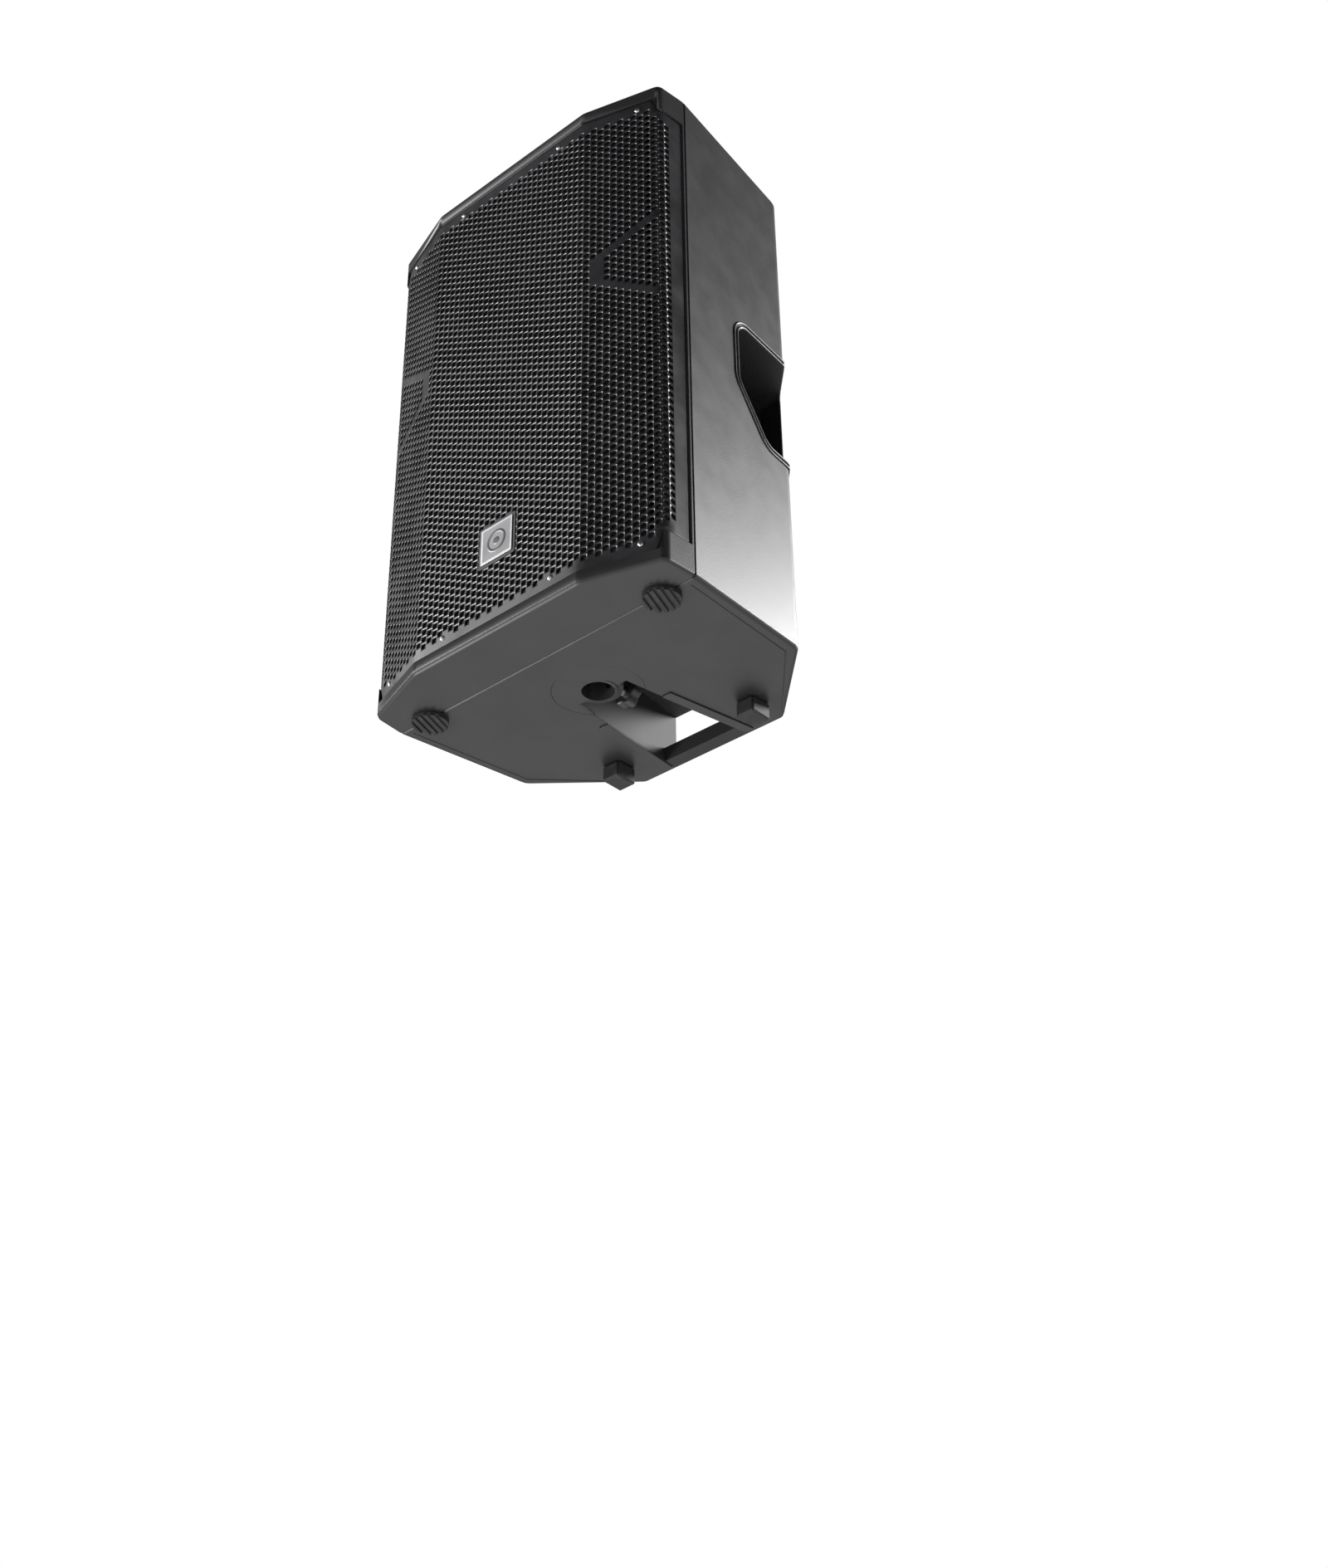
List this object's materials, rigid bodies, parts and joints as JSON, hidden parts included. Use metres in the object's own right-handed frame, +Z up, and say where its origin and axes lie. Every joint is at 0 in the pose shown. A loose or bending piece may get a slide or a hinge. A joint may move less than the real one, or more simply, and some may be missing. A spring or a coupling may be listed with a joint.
{
  "type": "pa speaker",
  "caption": "Moulded PA speaker cabinet with wrap-around perforated grille, side grips, rear bar, amplifier panel and pole socket.",
  "frame": {"origin": "centre of the bounding box on the surface that the feet stand on", "axes": "+Z up, -Y out of the grille, +Y to the rear, +X to the right of someone who faces the grille"},
  "size_m": [0.425, 0.3474, 0.6854],
  "materials": {
    "shell_plastic": "fine leather-grain moulded black polypropylene",
    "grille_steel": "black powder-coated perforated steel",
    "control_plastic": "smooth black moulded plastic",
    "black_steel": "black painted steel",
    "badge_metal": "satin silver",
    "screw_metal": "zinc-plated",
    "rubber": "matt black",
    "foam": "open-cell acoustic foam",
    "cone_paper": "coated paper",
    "spider_cloth": "impregnated cloth",
    "zinc_steel": "passivated",
    "ferrite": "ceramic magnet",
    "copper": "enamelled wire on a former",
    "titanium": "thin formed foil",
    "anodised": "black anodised",
    "circuit_board": "solder mask",
    "winding": "film-wrapped winding",
    "green_lens": "clear green lens"
  },
  "bodies": {
    "cabinet": {"amp_board": "circuit_board", "amp_panel": "black_steel", "amp_screw_1": "screw_metal", "amp_screw_2": "screw_metal", "amp_screw_3": "screw_metal", "amp_screw_4": "screw_metal", "badge_frame": "control_plastic", "badge_plate": "badge_metal", "combo_input_1": "control_plastic", "combo_input_2": "control_plastic", "driver_cover": "control_plastic", "driver_magnet": "black_steel", "front_foot_left": "rubber", "front_foot_right": "rubber", "front_shell": "shell_plastic", "grille": "grille_steel", "grille_foam": "foam", "grille_screw_bottom_1": "screw_metal", "grille_screw_bottom_2": "screw_metal", "grille_screw_bottom_3": "screw_metal", "grille_screw_bottom_4": "screw_metal", "grille_screw_top_1": "screw_metal", "grille_screw_top_2": "screw_metal", "grille_screw_top_3": "screw_metal", "grille_screw_top_4": "screw_metal", "handle_cup_left": "shell_plastic", "handle_cup_right": "shell_plastic", "heat_sink": "anodised", "horn": "control_plastic", "link_output": "control_plastic", "mains_inlet": "control_plastic", "mains_transformer": "winding", "pole_cup": "shell_plastic", "port_tube_left": "control_plastic", "port_tube_right": "control_plastic", "rear_foot_left": "rubber", "rear_foot_right": "rubber", "rear_shell": "shell_plastic", "rigging_insert_left": "screw_metal", "rigging_insert_right": "screw_metal", "status_led": "green_lens", "woofer_back_plate": "zinc_steel", "woofer_basket": "black_steel", "woofer_magnet_ring": "ferrite", "woofer_spider": "spider_cloth", "woofer_surround": "rubber", "woofer_top_plate": "zinc_steel"},
    "woofer_motion": {"woofer_cone": "cone_paper", "woofer_dust_cap": "cone_paper", "woofer_voice_coil": "copper"},
    "driver_motion": {"driver_diaphragm": "titanium"},
    "input_1_dial": {"input_1_knob": "control_plastic"},
    "input_2_dial": {"input_2_knob": "control_plastic"},
    "master_dial": {"master_knob": "control_plastic"},
    "power_switch": {"power_rocker": "control_plastic"},
    "mic_line_switch": {"mic_line_button": "control_plastic"},
    "latch_1": {"combo_latch_1": "screw_metal"},
    "latch_2": {"combo_latch_2": "screw_metal"},
    "lock_spindle": {"pole_lock_spindle": "screw_metal"},
    "lock_knob": {"pole_lock_knob": "control_plastic"}
  },
  "joints": [
    {"name": "woofer_travel", "type": "slide", "parent": "cabinet", "child": "woofer_motion", "axis": [0, -1, 0], "range_m": [-0.006, 0.006], "stiffness_N_per_m": 5000, "deforming": ["woofer_surround", "woofer_spider"]},
    {"name": "driver_travel", "type": "slide", "parent": "cabinet", "child": "driver_motion", "axis": [0, 1, 0], "range_m": [-0.0002, 0.0003], "stiffness_N_per_m": 5000},
    {"name": "input_1_turn", "type": "hinge", "parent": "cabinet", "child": "input_1_dial", "pos_m": [0.052, 0.15705, 0.308], "axis": [0, -1, 0], "range_deg": [-150, 150]},
    {"name": "input_2_turn", "type": "hinge", "parent": "cabinet", "child": "input_2_dial", "pos_m": [0, 0.15705, 0.308], "axis": [0, -1, 0], "range_deg": [-150, 150]},
    {"name": "master_turn", "type": "hinge", "parent": "cabinet", "child": "master_dial", "pos_m": [-0.052, 0.15705, 0.308], "axis": [0, -1, 0], "range_deg": [-150, 150]},
    {"name": "power_rock", "type": "hinge", "parent": "cabinet", "child": "power_switch", "pos_m": [-0.04, 0.15505, 0.156], "axis": [1, 0, 0], "range_deg": [0, 16]},
    {"name": "mic_line_press", "type": "slide", "parent": "cabinet", "child": "mic_line_switch", "axis": [0, -1, 0], "range_m": [0, 0.0025], "stiffness_N_per_m": 400},
    {"name": "latch_1_press", "type": "slide", "parent": "cabinet", "child": "latch_1", "axis": [0, -1, 0], "range_m": [0, 0.002], "stiffness_N_per_m": 500},
    {"name": "latch_2_press", "type": "slide", "parent": "cabinet", "child": "latch_2", "axis": [0, -1, 0], "range_m": [0, 0.002], "stiffness_N_per_m": 500},
    {"name": "pole_lock_advance", "type": "slide", "parent": "cabinet", "child": "lock_spindle", "axis": [0, -1, 0], "range_m": [0, 0.003]},
    {"name": "pole_lock_turn", "type": "hinge", "parent": "lock_spindle", "child": "lock_knob", "pos_m": [0, 0.03035, 0.03], "axis": [0, -1, 0], "range_deg": [0, 720]}
  ],
  "couplings": [
    {"joint": "pole_lock_turn", "follows": "pole_lock_advance", "rad_per_m": 4188.8}
  ]
}
